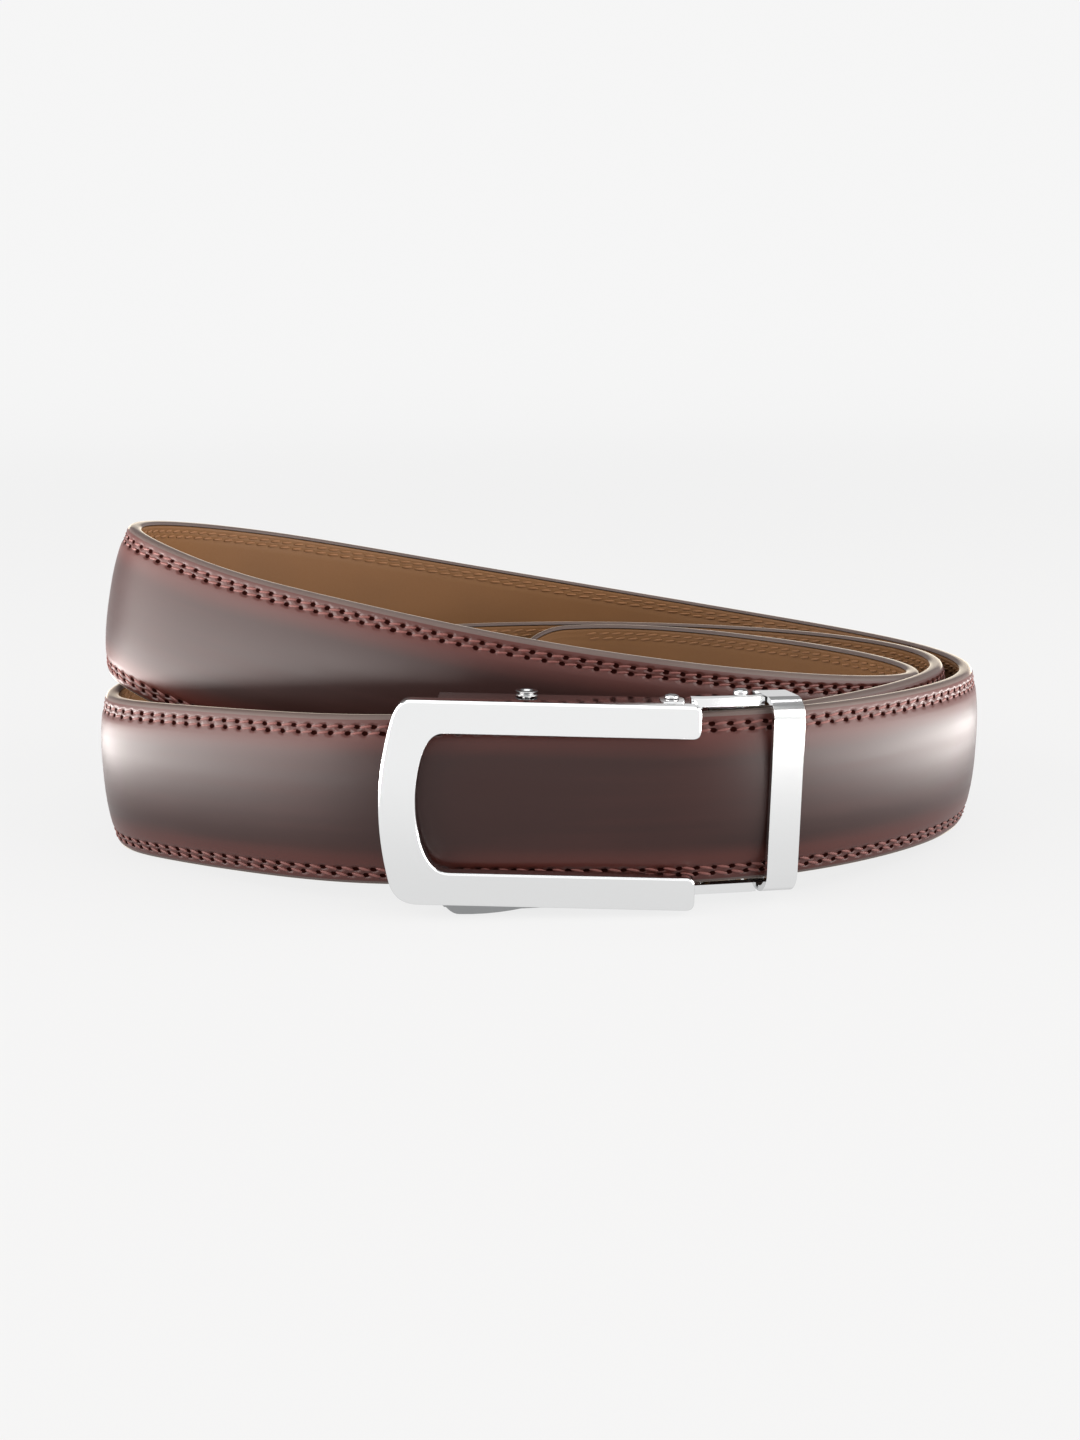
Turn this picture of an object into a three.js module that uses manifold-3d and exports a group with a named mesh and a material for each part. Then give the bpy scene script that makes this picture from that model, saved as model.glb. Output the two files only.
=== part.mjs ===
// A man's dress belt, fastened and coiled on its edge, with a sliding ratchet buckle in polished chrome.
// Millimetres, +Z up. The buckle faces -Y. The strap runs twice round: it starts in the clamp behind
// the keeper, makes the inner loop, passes through the buckle from left to right and makes the outer
// loop, which climbs over the inner one at the left and ends as a loose tail inside the coil.
import * as THREE from 'three';
import { mergeVertices } from 'three/addons/utils/BufferGeometryUtils.js';
import Module from 'manifold-3d';

const wasm = await Module();
wasm.setup();

// Strap
const STRAP_WIDTH = 35;
const EDGE_THICKNESS = 2.8;
const CROWN_HEIGHT = 2.2;
const CROWN_POWER = 2.6;
const CROWN_PARTS = [1, 0.88, 0.62, 0.3, 0, -0.3, -0.62, -0.88, -1];
const HOLLOW_DEPTH = 0.45;
const EDGE_LIP = 0.6;
const LINING_THICKNESS = 0.8;
const LINING_GAP = 0.3;
const LINING_SIDE_GAP = 0.3;
const STEPS_PER_SPAN = 5;
const TAIL_ROUNDING = 15;
const TAIL_STEPS = 6;
const TAIL_END_FRACTION = 0.35;

const UP = new THREE.Vector3(0, 0, 1);

// Place of the coil: the origin is under the middle of the whole belt
const COIL_OFFSET = new THREE.Vector3(-0.25, -69.512, 0.685);

// The strap's route, a row for each bend or stretch: along x, back y, height of the middle z, and the
// lean of the top edge out of the coil in degrees. A cubic B-spline runs smoothly through between them.
const ROUTE = [
  // start, clamped behind the outer strap
  { x: 31, y: 5.2, z: 21, lean: -1 },
  { x: 34, y: 5.2, z: 21, lean: -1 },
  { x: 39, y: 5.3, z: 21, lean: -1 },
  { x: 58, y: 13, z: 21, lean: -1 },
  // inner loop, right side and back
  { x: 91, y: 43.5, z: 20.5, lean: -2 },
  { x: 97, y: 84, z: 18.5, lean: 2 },
  { x: 70, y: 121.5, z: 17.5, lean: 5 },
  { x: 18, y: 140.5, z: 17.5, lean: 3 },
  { x: -39, y: 135, z: 18, lean: 1 },
  { x: -80, y: 104, z: 17.2, lean: 0 },
  // lower left turn
  { x: -99, y: 68, z: 17, lean: 0 },
  { x: -97, y: 45, z: 17.4, lean: 2 },
  { x: -85, y: 31, z: 19, lean: 2 },
  { x: -65, y: 16, z: 20.5, lean: 0 },
  // front, through the buckle
  { x: -39, y: 2, z: 21.5, lean: -1 },
  { x: -14, y: -1, z: 22.4, lean: -2 },
  { x: 11, y: 1, z: 21.1, lean: -2 },
  { x: 34, y: -2.2, z: 22.3, lean: -1 },
  { x: 59, y: 7, z: 21.5, lean: 1 },
  // outer loop, right side and back, climbing to the left
  { x: 90, y: 34, z: 20, lean: -2 },
  { x: 103, y: 68, z: 18, lean: 4 },
  { x: 93.5, y: 103.5, z: 17.5, lean: 6 },
  { x: 61.5, y: 132, z: 19.5, lean: 7 },
  { x: 16, y: 145.7, z: 26, lean: 4 },
  { x: -31, y: 141.8, z: 35, lean: 2 },
  { x: -70, y: 125, z: 45, lean: -6 },
  // upper left turn, on top of the lower one
  { x: -93, y: 99.5, z: 51.3, lean: -11 },
  { x: -100, y: 71.5, z: 54.4, lean: -12.5 },
  { x: -91.8, y: 54.5, z: 52.1, lean: -9 },
  { x: -71.5, y: 42.5, z: 45.6, lean: -6 },
  // upper band, down to the right behind the buckle
  { x: -43, y: 32, z: 40.5, lean: 0 },
  { x: -11, y: 23, z: 34.5, lean: 4 },
  { x: 21, y: 22, z: 29, lean: 5 },
  { x: 52, y: 28, z: 24, lean: 5 },
  { x: 76.8, y: 40, z: 20.5, lean: 5 },
  { x: 87.7, y: 55, z: 19, lean: 4 },
  // tail, back along the inside of the inner loop
  { x: 80, y: 82, z: 18.5, lean: 0 },
  { x: 55, y: 112, z: 18, lean: -1 },
  { x: 26, y: 132.8, z: 18, lean: -1 },
  { x: -6, y: 132, z: 17.5, lean: -1 },
  { x: -41, y: 103, z: 16.5, lean: -1 },
];

// Buckle, in its own frame: the origin is the middle of the strap where it passes through
const BUCKLE_HEIGHT = 22.3;
const BUCKLE_LEAN = THREE.MathUtils.degToRad(-1.6);
const BUCKLE_TILT = THREE.MathUtils.degToRad(2.2);

// Frame: an open hoop of three sides. Both outlines bow out slightly at the left, between soft corners.
const FRAME_OUTSIDE = {
  left: -32.2, bow: 2.2,
  top: { z: 20.6, reach: 4, drop: 4.5 },
  bottom: { z: -20.9, reach: 6, drop: 4.5 },
};
const FRAME_WINDOW = {
  left: -24.8, bow: 0.8,
  top: { z: 13.9, reach: 4.5, drop: 6 },
  bottom: { z: -14.1, reach: 6, drop: 7.5 },
};
const FRAME_RIGHT = 31;
const FRAME_BACK = -3.7;
const FRAME_FRONT = -7.6;
const FRAME_BEVEL = 1.1;
const ARM_END_ROUNDING = 1.7;
const EAR_RADIUS = 2.4;
const EAR_THICKNESS = 0.6;
const EAR_ROOT = 2;

// Housing: a sheet channel behind the strap. Its two flanges run on as rails to the keeper, each with an
// upright bar along the front that follows the strap's edge.
const SHEET = 0.8;
const FLANGE_TOP = 19.9;
const FLANGE_BOTTOM = -19.7;
const FLANGE_FRONT = -1.6;
const HOUSING_LEFT = -21;
const HOUSING_PLATE_RIGHT = 30;
const HOUSING_PLATE_BACK = 6;
const FLANGE_PLAN = [
  { x: HOUSING_LEFT, y: FLANGE_FRONT }, { x: 31.5, y: FLANGE_FRONT },
  { x: 31.5, y: 0.4 }, { x: 43.8, y: 3.6 }, { x: 41.8, y: 11.4 }, { x: 33, y: 11.4 },
  { x: 28, y: HOUSING_PLATE_BACK }, { x: HOUSING_LEFT, y: HOUSING_PLATE_BACK },
];
const BAR_PLAN = [
  { x: 29.3, y: FLANGE_FRONT }, { x: 31.5, y: FLANGE_FRONT }, { x: 44.3, y: 1.9 },
  { x: 43.7, y: 4.2 }, { x: 31.5, y: 0.9 }, { x: 29.3, y: 0.9 },
];
const UPPER_BAR = { bottom: 19.5, top: 21.2 };
const LOWER_BAR = { bottom: -19.1, top: -17.2 };
const SEAT_GAP = 0.25;
const BORE_CLEARANCE = 0.08;

// Pins, all upright: place, shank radius, and the rows of each head from its seat outwards
const FRAME_PIN = {
  x: 25.5, y: 0.6, shank: 0.9,
  head: [{ r: 1.5, z: 0 }, { r: 1.2, z: 0.4 }, { r: 0, z: 0.55 }],
  foot: [{ r: 0, z: 0 }],
};
const LEVER_PIN = {
  x: -3.4, y: 3.8, shank: 1,
  head: [
    { r: 2.3, z: 0 }, { r: 1.5, z: 0.5 }, { r: 2.3, z: 1 },
    { r: 1.3, z: 1 }, { r: 0.9, z: 0.6 }, { r: 0, z: 0.6 },
  ],
  foot: [{ r: 1.8, z: 0 }, { r: 1.8, z: 0.6 }, { r: 0, z: 0.6 }],
};
const JAW_PIN = {
  x: 40.3, y: 9.8, shank: 0.8,
  head: [{ r: 1.6, z: 0 }, { r: 1.6, z: 0.9 }, { r: 1.2, z: 1.3 }, { r: 0, z: 1.3 }],
  foot: [{ r: 1.3, z: 0 }, { r: 1.3, z: 0.8 }, { r: 0, z: 0.8 }],
};
const PIN_SIDES = 16;

// Meshing
const CURVE_SEGMENTS = 6;
const KEEPER_CURVE_SEGMENTS = 5;
const BEVEL_SEGMENTS = 2;
const WELD_DISTANCE = 1e-4;

// Clamp jaw that grips the start of the strap
const JAW_LEFT = 33.6;
const JAW_FRONT = 8.5;
const JAW_THICKNESS = 1.1;
const JAW_HALF_HEIGHT = 17.6;
const JAW_BARREL_RADIUS = 1.4;

// Keeper: a flat strip bent to a closed loop, turned to follow the strap
const KEEPER_MIDDLE = 48.5;
const KEEPER_TURN = THREE.MathUtils.degToRad(15);
const KEEPER_WIDTH = 6.6;
const KEEPER_TOP = 21.5;
const KEEPER_BOTTOM = -18.8;
const KEEPER_FRONT = -2;
const KEEPER_BACK = 13.3;
const KEEPER_STRIP = 1.2;
const KEEPER_RADIUS = 4.5;

// Release lever: a leaf-shaped finger tab under the frame, and a pawl on its pin behind the strap
const LEVER_TOP = -21.2;
const LEVER_SHEET = 0.9;
const LEVER_LEAF = [
  { x: -4, y: -4.2 }, { x: -16, y: -4.6 }, { x: -19, y: -4.2 }, { x: -20, y: -1.4 }, { x: -17, y: 2.2 },
  { x: -11, y: 4.6 }, { x: -3.4, y: 6.3 }, { x: 4.6, y: 5.6 }, { x: 4.6, y: -2.2 },
];
const LEVER_SKIRT = { left: -19.4, deepest: -16, right: 0, drop: 2.4, front: -4, back: -3 };
const LEVER_BOSS_RADIUS = 2.6;
const PAWL = { left: -9.5, front: 2.6, back: 3.4, halfHeight: 5 };

const LEATHER = new THREE.MeshStandardMaterial({ color: 0x4a2b27, roughness: 0.35, metalness: 0 });
const LINING_LEATHER = new THREE.MeshStandardMaterial({ color: 0x85643a, roughness: 0.7, metalness: 0 });
const CHROME = new THREE.MeshStandardMaterial({ color: 0xe6e8ea, roughness: 0.08, metalness: 1 });
const DARK_STEEL = new THREE.MeshStandardMaterial({ color: 0x9a9da0, roughness: 0.25, metalness: 1 });

// Weights of a uniform cubic B-spline and of its derivative
function splineWeights(f) {
  const rising = -3 * f ** 3 + 3 * f ** 2 + 3 * f + 1;
  const falling = 3 * f ** 3 - 6 * f ** 2 + 4;
  return [(1 - f) ** 3 / 6, falling / 6, rising / 6, f ** 3 / 6];
}

function slopeWeights(f) {
  return [-((1 - f) ** 2) / 2, (3 * f * f - 4 * f) / 2, (-3 * f * f + 2 * f + 1) / 2, (f * f) / 2];
}

function blendRows(u, weights, field) {
  const first = Math.min(Math.floor(u), ROUTE.length - 4);
  const w = weights(u - first);
  return w.reduce((sum, weight, k) => sum + weight * ROUTE[first + k][field], 0);
}

// The strap's own frame at one place along the route
function stationAt(u) {
  const blendPlaces = (weights) => new THREE.Vector3(
    ...['x', 'y', 'z'].map((field) => blendRows(u, weights, field)));
  const middle = blendPlaces(splineWeights);
  const along = blendPlaces(slopeWeights);
  const speed = along.length();
  along.normalize();
  const level = new THREE.Vector3().crossVectors(along, UP).normalize();
  const lean = THREE.MathUtils.degToRad(blendRows(u, splineWeights, 'lean'));
  const outward = level.clone().applyAxisAngle(along, lean);
  const across = new THREE.Vector3().crossVectors(outward, along);
  return { middle, outward, across, speed };
}

// Stations along the whole strap; the last ones narrow it to the rounded tail
function strapStations() {
  const last = ROUTE.length - 3;
  const endSpeed = stationAt(last).speed;
  const tailStart = last - TAIL_ROUNDING / endSpeed;
  const stations = [];
  for (let k = 0; k / STEPS_PER_SPAN < tailStart - 0.5 / STEPS_PER_SPAN; k++) {
    stations.push({ ...stationAt(k / STEPS_PER_SPAN), narrowing: 1 });
  }
  for (let k = 0; k <= TAIL_STEPS; k++) {
    const angle = (Math.PI / 2) * (k / TAIL_STEPS);
    const narrowing = TAIL_END_FRACTION + (1 - TAIL_END_FRACTION) * Math.cos(angle);
    stations.push({ ...stationAt(tailStart + (TAIL_ROUNDING * Math.sin(angle)) / endSpeed), narrowing });
  }
  return stations;
}

const crownAt = (part) => CROWN_HEIGHT * (1 - Math.abs(part) ** CROWN_POWER);

// Outline of the padded strap: crowned leather outside, a shallow recess for the lining inside
function leatherOutline() {
  const half = STRAP_WIDTH / 2;
  const edge = EDGE_THICKNESS / 2;
  const lip = half - EDGE_LIP;
  const recess = LINING_THICKNESS + LINING_GAP;
  const outside = CROWN_PARTS.map((part) => [part * half, edge + crownAt(part)]);
  const inside = [
    [-half, -edge], [-lip, -edge], [-lip, -edge + recess], [0, -edge + recess + HOLLOW_DEPTH],
    [lip, -edge + recess], [lip, -edge], [half, -edge],
  ];
  return [...outside, ...inside];
}

function liningOutline() {
  const half = STRAP_WIDTH / 2 - EDGE_LIP - LINING_SIDE_GAP;
  const low = -EDGE_THICKNESS / 2;
  const high = low + LINING_THICKNESS;
  return [
    [half, high], [0, high + HOLLOW_DEPTH], [-half, high],
    [-half, low], [0, low + HOLLOW_DEPTH], [half, low],
  ];
}

// A closed body swept through the stations, with fan caps at both ends
function loft(stations, outline) {
  const positions = [];
  const faces = [];
  const count = outline.length;
  for (const { middle, outward, across, narrowing } of stations) {
    for (const [side, depth] of outline) {
      const point = middle.clone().addScaledVector(across, side * narrowing);
      point.addScaledVector(outward, depth);
      positions.push(point.x, point.y, point.z);
    }
  }
  for (let s = 0; s + 1 < stations.length; s++) {
    for (let k = 0; k < count; k++) {
      const a = s * count + k;
      const b = s * count + ((k + 1) % count);
      faces.push(a, b, b + count, a, b + count, a + count);
    }
  }
  const shape = outline.map(([side, depth]) => new THREE.Vector2(side, depth));
  const end = (stations.length - 1) * count;
  for (const [a, b, c] of THREE.ShapeUtils.triangulateShape(shape, [])) {
    faces.push(a, c, b);
    faces.push(end + a, end + b, end + c);
  }
  const geometry = new THREE.BufferGeometry();
  geometry.setAttribute('position', new THREE.Float32BufferAttribute(positions, 3));
  geometry.setIndex(faces);
  return geometry;
}

// Solids for joining and cutting
function toSolid(geometry) {
  const bare = geometry.clone();
  bare.deleteAttribute('normal');
  bare.deleteAttribute('uv');
  const merged = mergeVertices(bare, WELD_DISTANCE);
  return new wasm.Manifold(new wasm.Mesh({
    numProp: 3,
    vertProperties: new Float32Array(merged.attributes.position.array),
    triVerts: new Uint32Array(merged.index.array),
  }));
}

function toGeometry(solid) {
  const mesh = solid.getMesh();
  const geometry = new THREE.BufferGeometry();
  geometry.setAttribute('position', new THREE.BufferAttribute(mesh.vertProperties, 3));
  geometry.setIndex(new THREE.BufferAttribute(mesh.triVerts, 1));
  return geometry;
}

function box(x0, x1, y0, y1, z0, z1) {
  const geometry = new THREE.BoxGeometry(x1 - x0, y1 - y0, z1 - z0);
  return toSolid(geometry.translate((x0 + x1) / 2, (y0 + y1) / 2, (z0 + z1) / 2));
}

// An upright post with its axis along z
function post(x, y, radius, z0, z1) {
  const geometry = new THREE.CylinderGeometry(radius, radius, z1 - z0, PIN_SIDES);
  return toSolid(geometry.rotateX(Math.PI / 2).translate(x, y, (z0 + z1) / 2));
}

// A plan outline (x, y) raised from z0 to z1
function plate(outline, z0, z1) {
  const shape = new THREE.Shape(outline.map(({ x, y }) => new THREE.Vector2(x, y)));
  const geometry = new THREE.ExtrudeGeometry(shape, { depth: z1 - z0, bevelEnabled: false });
  return toSolid(geometry.translate(0, 0, z0));
}

// A front outline (x, z) carried back from y0 to y1; the bevel is taken inside that depth
function slab(shape, y0, y1, bevel) {
  const geometry = new THREE.ExtrudeGeometry(shape, {
    depth: y1 - y0 - 2 * bevel,
    bevelEnabled: bevel > 0,
    bevelThickness: bevel,
    bevelSize: bevel,
    bevelOffset: -bevel,
    bevelSegments: BEVEL_SEGMENTS,
    curveSegments: CURVE_SEGMENTS,
  });
  return toSolid(geometry.translate(0, 0, bevel).rotateX(Math.PI / 2).translate(0, y1, 0));
}

// Body turned about an upright axis from [radius, z] rows that start and end on the axis
function turned(x, y, rows) {
  const profile = rows.map(([radius, z]) => new THREE.Vector2(radius, z));
  const geometry = new THREE.LatheGeometry(profile, PIN_SIDES);
  return toSolid(geometry.rotateX(Math.PI / 2).translate(x, y, 0));
}

// Left side of the hoop from one level to the other, through its soft corners
function traceSide(path, { left, bow }, from, to) {
  const corner = left + bow;
  const sense = Math.sign(from.z - to.z);
  const start = from.z - sense * from.drop;
  const end = to.z + sense * to.drop;
  const slope = (4 * bow) / Math.abs(start - end);
  path.lineTo(corner + from.reach, from.z);
  path.quadraticCurveTo(corner + slope * from.drop, from.z, corner, start);
  path.quadraticCurveTo(corner - 2 * bow, (start + end) / 2, corner, end);
  path.quadraticCurveTo(corner + slope * to.drop, to.z, corner + to.reach, to.z);
}

// Right end of one arm, upwards or downwards between two levels
function traceArmEnd(path, from, to) {
  const step = Math.sign(to - from) * ARM_END_ROUNDING;
  path.lineTo(FRAME_RIGHT - ARM_END_ROUNDING, from);
  path.quadraticCurveTo(FRAME_RIGHT, from, FRAME_RIGHT, from + step);
  path.lineTo(FRAME_RIGHT, to - step);
  path.quadraticCurveTo(FRAME_RIGHT, to, FRAME_RIGHT - ARM_END_ROUNDING, to);
}

function frameShape() {
  const shape = new THREE.Shape();
  shape.moveTo(FRAME_RIGHT - ARM_END_ROUNDING, FRAME_OUTSIDE.top.z);
  traceSide(shape, FRAME_OUTSIDE, FRAME_OUTSIDE.top, FRAME_OUTSIDE.bottom);
  traceArmEnd(shape, FRAME_OUTSIDE.bottom.z, FRAME_WINDOW.bottom.z);
  traceSide(shape, FRAME_WINDOW, FRAME_WINDOW.bottom, FRAME_WINDOW.top);
  traceArmEnd(shape, FRAME_WINDOW.top.z, FRAME_OUTSIDE.top.z);
  return shape;
}

// A pierced lug that carries the frame on its pin, from the frame's back to round the pin
function frameEar(z0) {
  const z1 = z0 + EAR_THICKNESS;
  const { x, y, shank } = FRAME_PIN;
  const lug = post(x, y, EAR_RADIUS, z0, z1);
  const neck = box(x - EAR_RADIUS, x + EAR_RADIUS, FRAME_BACK - EAR_ROOT, y, z0, z1);
  const hole = post(x, y, shank + BORE_CLEARANCE, z0 - SHEET, z1 + SHEET);
  return lug.add(neck).subtract(hole);
}

function frameSolid() {
  const hoop = slab(frameShape(), FRAME_FRONT, FRAME_BACK, FRAME_BEVEL);
  const upperEar = frameEar(FLANGE_TOP + SEAT_GAP);
  const lowerEar = frameEar(FLANGE_BOTTOM - SEAT_GAP - EAR_THICKNESS);
  return hoop.add(upperEar).add(lowerEar);
}

function housingSolid() {
  const flanges = plate(FLANGE_PLAN, FLANGE_TOP - SHEET, FLANGE_TOP)
    .add(plate(FLANGE_PLAN, FLANGE_BOTTOM, FLANGE_BOTTOM + SHEET));
  const bars = plate(BAR_PLAN, UPPER_BAR.bottom, UPPER_BAR.top)
    .add(plate(BAR_PLAN, LOWER_BAR.bottom, LOWER_BAR.top));
  const back = box(
    HOUSING_LEFT, HOUSING_PLATE_RIGHT,
    HOUSING_PLATE_BACK - SHEET, HOUSING_PLATE_BACK,
    FLANGE_BOTTOM + SHEET / 2, FLANGE_TOP - SHEET / 2,
  );
  const bores = [FRAME_PIN, LEVER_PIN, JAW_PIN].map(({ x, y, shank }) => (
    post(x, y, shank + BORE_CLEARANCE, FLANGE_BOTTOM - SHEET, FLANGE_TOP + SHEET)));
  return bores.reduce((solid, bore) => solid.subtract(bore), flanges.add(bars).add(back));
}

// A pin whose shank runs from z0 up to z1, with its foot below and its head above
function pinSolid({ x, y, shank, head, foot }, z0, z1) {
  const below = foot.toReversed().map(({ r, z }) => [r, z0 - z]);
  const above = head.map(({ r, z }) => [r, z1 + z]);
  return turned(x, y, [...below, [shank, z0], [shank, z1], ...above]);
}

function upperFramePin() {
  return pinSolid(FRAME_PIN, FLANGE_TOP - SHEET, FLANGE_TOP + 2 * SEAT_GAP + EAR_THICKNESS);
}

function lowerFramePin() {
  const seat = -FLANGE_BOTTOM;
  const upright = pinSolid(FRAME_PIN, seat - SHEET, seat + 2 * SEAT_GAP + EAR_THICKNESS);
  return upright.mirror([0, 0, 1]);
}

// Jaw: a flat tongue behind the strap's start, with a barrel that turns on the jaw pin
function jawSolid() {
  const { x, y, shank } = JAW_PIN;
  const tongue = box(JAW_LEFT, x, JAW_FRONT, JAW_FRONT + JAW_THICKNESS, -JAW_HALF_HEIGHT, JAW_HALF_HEIGHT);
  const barrel = post(x, y, JAW_BARREL_RADIUS, -JAW_HALF_HEIGHT, JAW_HALF_HEIGHT);
  const bore = post(x, y, shank + BORE_CLEARANCE, FLANGE_BOTTOM, FLANGE_TOP);
  return tongue.add(barrel).subtract(bore);
}

// The keeper's outline, or its inside at the strip's thickness further in
function keeperLoop(path, inset) {
  const y0 = KEEPER_FRONT + inset;
  const y1 = KEEPER_BACK - inset;
  const z0 = KEEPER_BOTTOM + inset;
  const z1 = KEEPER_TOP - inset;
  const radius = KEEPER_RADIUS - inset;
  path.moveTo(y0 + radius, z0);
  path.lineTo(y1 - radius, z0);
  path.absarc(y1 - radius, z0 + radius, radius, -Math.PI / 2, 0, false);
  path.lineTo(y1, z1 - radius);
  path.absarc(y1 - radius, z1 - radius, radius, 0, Math.PI / 2, false);
  path.lineTo(y0 + radius, z1);
  path.absarc(y0 + radius, z1 - radius, radius, Math.PI / 2, Math.PI, false);
  path.lineTo(y0, z0 + radius);
  path.absarc(y0 + radius, z0 + radius, radius, Math.PI, 1.5 * Math.PI, false);
  return path;
}

function keeperSolid() {
  const shape = keeperLoop(new THREE.Shape(), 0);
  shape.holes.push(keeperLoop(new THREE.Path(), KEEPER_STRIP));
  const geometry = new THREE.ExtrudeGeometry(shape, {
    depth: KEEPER_WIDTH,
    bevelEnabled: false,
    curveSegments: KEEPER_CURVE_SEGMENTS,
  });
  // the outline's (y, z) plane is stood up and its depth laid along x
  const upright = new THREE.Matrix4().makeBasis(new THREE.Vector3(0, 1, 0), UP, new THREE.Vector3(1, 0, 0));
  geometry.applyMatrix4(upright);
  geometry.translate(-KEEPER_WIDTH / 2, 0, 0).rotateZ(KEEPER_TURN).translate(KEEPER_MIDDLE, 0, 0);
  return toSolid(geometry);
}

// Lever: a leaf of sheet under the frame, its front edge turned down and deepest near the free end
function leverSolid() {
  const low = LEVER_TOP - LEVER_SHEET;
  const { left, deepest, right, drop, front, back } = LEVER_SKIRT;
  const skirt = new THREE.Shape();
  skirt.moveTo(right, LEVER_TOP);
  skirt.quadraticCurveTo((right + deepest) / 2, LEVER_TOP - drop, deepest, LEVER_TOP - drop);
  skirt.quadraticCurveTo((left + deepest) / 2, LEVER_TOP - drop, left, LEVER_TOP);
  const tab = plate(LEVER_LEAF, low, LEVER_TOP);
  const { x, y, shank } = LEVER_PIN;
  const boss = post(x, y, LEVER_BOSS_RADIUS, low, FLANGE_BOTTOM - SEAT_GAP);
  const bore = post(x, y, shank + BORE_CLEARANCE, low - SHEET, FLANGE_BOTTOM + SHEET);
  return tab.add(slab(skirt, front, back, 0)).add(boss).subtract(bore);
}

// Lever pin with its pawl, which bears on the back of the strap
function leverPin() {
  const pin = pinSolid(LEVER_PIN, LEVER_TOP - LEVER_SHEET - SEAT_GAP, FLANGE_TOP + SEAT_GAP);
  return pin.add(box(PAWL.left, LEVER_PIN.x, PAWL.front, PAWL.back, -PAWL.halfHeight, PAWL.halfHeight));
}

function piece(name, geometry, material) {
  const mesh = new THREE.Mesh(geometry, material.clone());
  mesh.name = name;
  return mesh;
}

function strapGroup() {
  const stations = strapStations();
  const group = new THREE.Group();
  group.add(piece('strap', loft(stations, leatherOutline()), LEATHER));
  group.add(piece('lining', loft(stations, liningOutline()), LINING_LEATHER));
  return group;
}

function buckleGroup() {
  const group = new THREE.Group();
  group.rotation.set(BUCKLE_LEAN, BUCKLE_TILT, 0);
  group.position.z = BUCKLE_HEIGHT;
  const pieces = [
    ['frame', frameSolid(), CHROME],
    ['housing', housingSolid(), CHROME],
    ['frame_pin_top', upperFramePin(), CHROME],
    ['frame_pin_bottom', lowerFramePin(), CHROME],
    ['jaw', jawSolid(), DARK_STEEL],
    ['jaw_pin', pinSolid(JAW_PIN, FLANGE_BOTTOM - SEAT_GAP, FLANGE_TOP + SEAT_GAP), CHROME],
    ['keeper', keeperSolid(), CHROME],
    ['release_lever', leverSolid(), DARK_STEEL],
    ['lever_pin', leverPin(), CHROME],
  ];
  for (const [name, solid, material] of pieces) {
    group.add(piece(name, toGeometry(solid), material));
  }
  return group;
}

const belt = new THREE.Group();
belt.add(strapGroup());
belt.add(buckleGroup());
belt.position.copy(COIL_OFFSET);

export default belt;
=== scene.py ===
import math

import bmesh
import bpy
import numpy as np
from mathutils import Matrix, Vector


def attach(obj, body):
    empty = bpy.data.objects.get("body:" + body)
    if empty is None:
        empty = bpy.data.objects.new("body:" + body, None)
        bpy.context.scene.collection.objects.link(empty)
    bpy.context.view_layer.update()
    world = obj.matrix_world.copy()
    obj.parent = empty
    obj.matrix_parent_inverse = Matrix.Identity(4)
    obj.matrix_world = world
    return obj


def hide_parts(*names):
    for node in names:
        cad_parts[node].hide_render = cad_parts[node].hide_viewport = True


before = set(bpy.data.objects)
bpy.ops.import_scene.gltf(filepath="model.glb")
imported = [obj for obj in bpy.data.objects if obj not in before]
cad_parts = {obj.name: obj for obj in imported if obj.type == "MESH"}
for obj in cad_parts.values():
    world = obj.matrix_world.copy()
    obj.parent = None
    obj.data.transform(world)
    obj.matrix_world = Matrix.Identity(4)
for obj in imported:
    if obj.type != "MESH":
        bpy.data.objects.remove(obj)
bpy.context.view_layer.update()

MM = 0.001

# The strap's route in mm, as the CAD has it: a row is along x, back y, middle height z, and the lean of
# the top edge out of the coil in degrees. A cubic B-spline runs through between the rows.
ROUTE = [
    (31, 5.2, 21, -1), (34, 5.2, 21, -1), (39, 5.3, 21, -1), (58, 13, 21, -1),
    (91, 43.5, 20.5, -2), (97, 84, 18.5, 2), (70, 121.5, 17.5, 5), (18, 140.5, 17.5, 3),
    (-39, 135, 18, 1), (-80, 104, 17.2, 0), (-99, 68, 17, 0), (-97, 45, 17.4, 2),
    (-85, 31, 19, 2), (-65, 16, 20.5, 0), (-39, 2, 21.5, -1), (-14, -1, 22.4, -2),
    (11, 1, 21.1, -2), (34, -2.2, 22.3, -1), (59, 7, 21.5, 1), (90, 34, 20, -2),
    (103, 68, 18, 4), (93.5, 103.5, 17.5, 6), (61.5, 132, 19.5, 7), (16, 145.7, 26, 4),
    (-31, 141.8, 35, 2), (-70, 125, 45, -6), (-93, 99.5, 51.3, -11), (-100, 71.5, 54.4, -12.5),
    (-91.8, 54.5, 52.1, -9), (-71.5, 42.5, 45.6, -6), (-43, 32, 40.5, 0), (-11, 23, 34.5, 4),
    (21, 22, 29, 5), (52, 28, 24, 5), (76.8, 40, 20.5, 5), (87.7, 55, 19, 4),
    (80, 82, 18.5, 0), (55, 112, 18, -1), (26, 132.8, 18, -1), (-6, 132, 17.5, -1),
    (-41, 103, 16.5, -1),
]
COIL_OFFSET = Vector((-0.25, -69.512, 0.685))
LAST = len(ROUTE) - 3
TAIL_ROUNDING = 15
TAIL_END_FRACTION = 0.35
STEPS_PER_SPAN = 14
TAIL_STEPS = 16
LENGTH_SAMPLES = 3801

# Strap section in mm
HALF_WIDTH = 17.5
HALF_EDGE = 1.4
CROWN_HEIGHT = 2.2
CROWN_POWER = 2.6
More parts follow.
